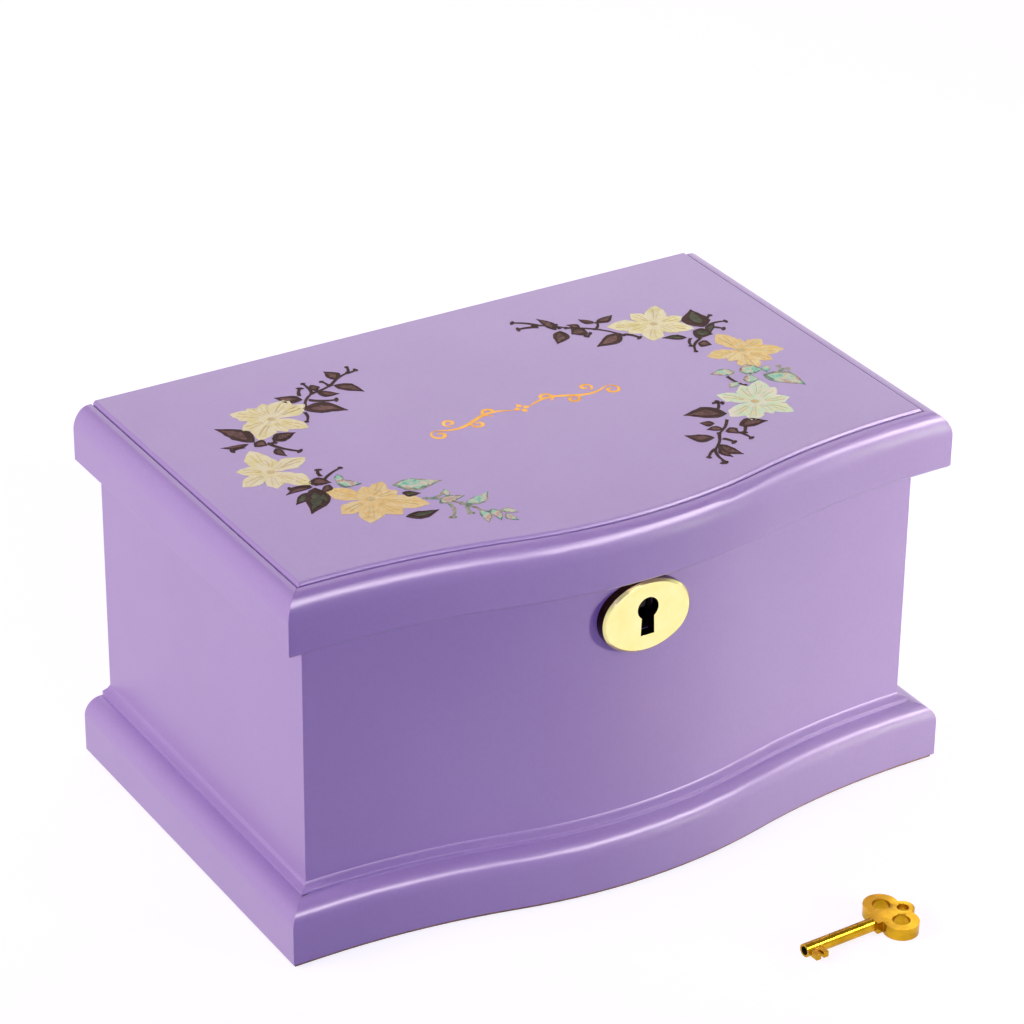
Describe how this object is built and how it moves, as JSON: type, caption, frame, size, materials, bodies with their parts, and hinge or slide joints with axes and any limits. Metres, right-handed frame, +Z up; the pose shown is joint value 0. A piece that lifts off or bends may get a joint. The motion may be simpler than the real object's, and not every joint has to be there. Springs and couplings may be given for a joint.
{
  "type": "ballerina jewellery box",
  "caption": "Lilac lacquered jewellery box with a serpentine front, hinged lid, lock and loose key, and a musical movement that turns a dancer.",
  "frame": {"origin": "on the table under the box, at the middle of the plinth's footprint", "axes": "+X to the right along the front, +Y to the back with the hinges, +Z up"},
  "size_m": [0.22, 0.2116, 0.117],
  "materials": {
    "lilac_lacquer": "satin lilac lacquer over wood",
    "gilt_brass": "polished gilt",
    "plain_wood": "plain board",
    "felt": "brown felt",
    "velvet": "short-pile velvet",
    "mirror_glass": "silvered glass",
    "steel": "brushed",
    "movement_brass": "turned",
    "bed_casting": "die-cast zinc",
    "dancer_plastic": "painted",
    "tutu_net": "stiff net"
  },
  "bodies": {
    "case": {"front_panel": "lilac_lacquer", "left_panel": "lilac_lacquer", "right_panel": "lilac_lacquer", "back_panel": "lilac_lacquer", "floor_board": "plain_wood", "base_board": "plain_wood", "base_felt": "felt", "plinth_front": "lilac_lacquer", "plinth_left": "lilac_lacquer", "plinth_right": "lilac_lacquer", "wall_lining": "velvet", "floor_lining": "velvet", "dividers": "velvet", "ring_rolls": "velvet", "stage_walls": "velvet", "stage_top": "velvet", "stage_mirror": "mirror_glass", "escutcheon": "gilt_brass", "lock_plate": "gilt_brass", "lock_body": "steel", "hinge_left_case_leaf": "gilt_brass", "hinge_right_case_leaf": "gilt_brass", "stay_case_stud": "gilt_brass", "movement_bedplate": "bed_casting", "comb": "steel", "cylinder_bearing_inner": "movement_brass", "cylinder_bearing_outer": "movement_brass", "governor_bracket": "movement_brass", "stop_spring": "steel"},
    "lid": {"lid_panel": "lilac_lacquer", "lid_rail_front": "lilac_lacquer", "lid_rail_left": "lilac_lacquer", "lid_rail_right": "lilac_lacquer", "lid_rail_back": "lilac_lacquer", "lid_backing": "plain_wood", "lid_mirror": "mirror_glass", "mirror_frame": "gilt_brass", "hinge_left_lid_leaf": "gilt_brass", "hinge_right_lid_leaf": "gilt_brass", "link_plate": "gilt_brass", "stay_lid_stud": "gilt_brass"},
    "stay": {"stay_arm": "gilt_brass"},
    "plunger": {"stop_plunger": "steel"},
    "bolt": {"lock_bolt": "steel"},
    "key": {"lock_key": "gilt_brass"},
    "winding": {"winding_arbor": "steel", "winding_key": "gilt_brass"},
    "barrel": {"spring_barrel": "movement_brass", "dancer_figure": "dancer_plastic", "dancer_tutu": "tutu_net"},
    "cylinder": {"music_cylinder": "movement_brass"},
    "governor": {"governor_wheel": "steel"},
    "fan": {"governor_fan": "steel"}
  },
  "joints": [
    {"name": "lid_hinge", "type": "hinge", "parent": "case", "child": "lid", "pos_m": [0, 0.0744, 0.0987], "axis": [-1, 0, 0], "range_deg": [0, 98]},
    {"name": "stay_pivot", "type": "hinge", "parent": "lid", "child": "stay", "pos_m": [0.0895, 0.03668, 0.1033], "axis": [-1, 0, 0], "range_deg": [-49, 0]},
    {"name": "plunger_slide", "type": "slide", "parent": "case", "child": "plunger", "axis": [0, 0, 1], "range_m": [0, 0.003]},
    {"name": "bolt_slide", "type": "slide", "parent": "case", "child": "bolt", "axis": [1, 0, 0], "range_m": [0, 0.0045]},
    {"name": "key_lift", "type": "slide", "parent": "case", "child": "key", "axis": [0, 0, 1], "range_m": [0, 0.03]},
    {"name": "winding_turn", "type": "hinge", "parent": "case", "child": "winding", "pos_m": [0, 0.0311, 0], "axis": [0, 0, 1], "continuous": true},
    {"name": "barrel_spin", "type": "hinge", "parent": "case", "child": "barrel", "pos_m": [0, 0.0311, 0], "axis": [0, 0, 1], "continuous": true},
    {"name": "cylinder_spin", "type": "hinge", "parent": "case", "child": "cylinder", "pos_m": [0, 0.0311, 0.03386], "axis": [1, 0, 0], "continuous": true},
    {"name": "governor_spin", "type": "hinge", "parent": "case", "child": "governor", "pos_m": [0, 0.0411, 0.03386], "axis": [1, 0, 0], "continuous": true},
    {"name": "fan_spin", "type": "hinge", "parent": "case", "child": "fan", "pos_m": [0.04134, 0.0485, 0], "axis": [0, 0, 1], "continuous": true}
  ],
  "couplings": [
    {"joint": "stay_pivot", "follows": "lid_hinge", "ratio": -0.5},
    {"joint": "plunger_slide", "follows": "lid_hinge", "m_per_rad": 0.0017539},
    {"joint": "cylinder_spin", "follows": "barrel_spin", "ratio": 2},
    {"joint": "governor_spin", "follows": "barrel_spin", "ratio": -6},
    {"joint": "fan_spin", "follows": "barrel_spin", "ratio": 96}
  ]
}
